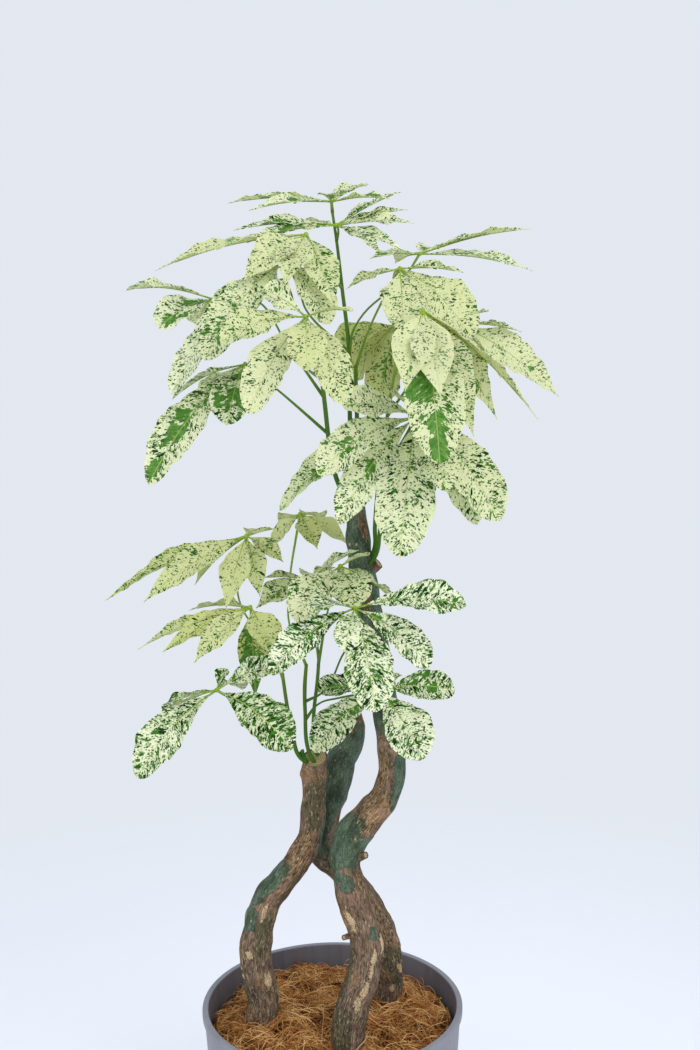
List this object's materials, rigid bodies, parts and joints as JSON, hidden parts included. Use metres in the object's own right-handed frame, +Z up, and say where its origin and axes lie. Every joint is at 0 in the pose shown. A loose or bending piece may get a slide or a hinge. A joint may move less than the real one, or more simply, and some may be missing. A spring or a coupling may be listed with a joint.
{
  "type": "potted money tree",
  "caption": "Braided money tree with variegated palmate leaves, growing from cut trunks in a round, slightly tapered pot filled with soil and coir mulch.",
  "frame": {"origin": "middle of the pot's flat underside, on the surface that the pot stands on", "axes": "+Z up along the pot's axis, +X to the viewer's right, -Y towards the viewer"},
  "size_m": [0.4905, 0.3404, 1.1914],
  "materials": {
    "pot": "matte blue-grey, moulded",
    "soil": "dark moist potting mix",
    "coir": "loose orange-brown coir fibre",
    "bark": "grey-brown fissured bark with smooth green patches",
    "shoot": "smooth green young wood and leaf stalks",
    "leaf": "cream and pale green, speckled and marbled dark green"
  },
  "bodies": {
    "root": {"pot": "pot", "potting_soil": "soil", "coir_mulch": "coir", "trunk_left": "bark", "trunk_front": "bark", "trunk_back": "bark", "crown_shoot_left": "shoot", "crown_shoot_tall": "shoot", "crown_shoot_back": "shoot", "side_shoot_right": "shoot", "side_shoot_front": "shoot", "lower_shoot_left": "shoot", "lower_shoot_middle": "shoot", "lower_shoot_right": "shoot", "crown_leaf_1": "leaf", "crown_leaf_2": "leaf", "crown_leaf_3": "leaf", "crown_leaf_4": "leaf", "crown_leaf_5": "leaf", "crown_leaf_6": "leaf", "crown_leaf_7": "leaf", "crown_leaf_8": "leaf", "crown_leaf_9": "leaf", "crown_leaf_10": "leaf", "crown_leaf_11": "leaf", "crown_leaf_12": "leaf", "crown_leaf_13": "leaf", "lower_leaf_1": "leaf", "lower_leaf_2": "leaf", "lower_leaf_3": "leaf", "lower_leaf_4": "leaf", "lower_leaf_5": "leaf", "lower_leaf_6": "leaf", "lower_leaf_7": "leaf", "lower_leaf_8": "leaf"}
  },
  "joints": []
}
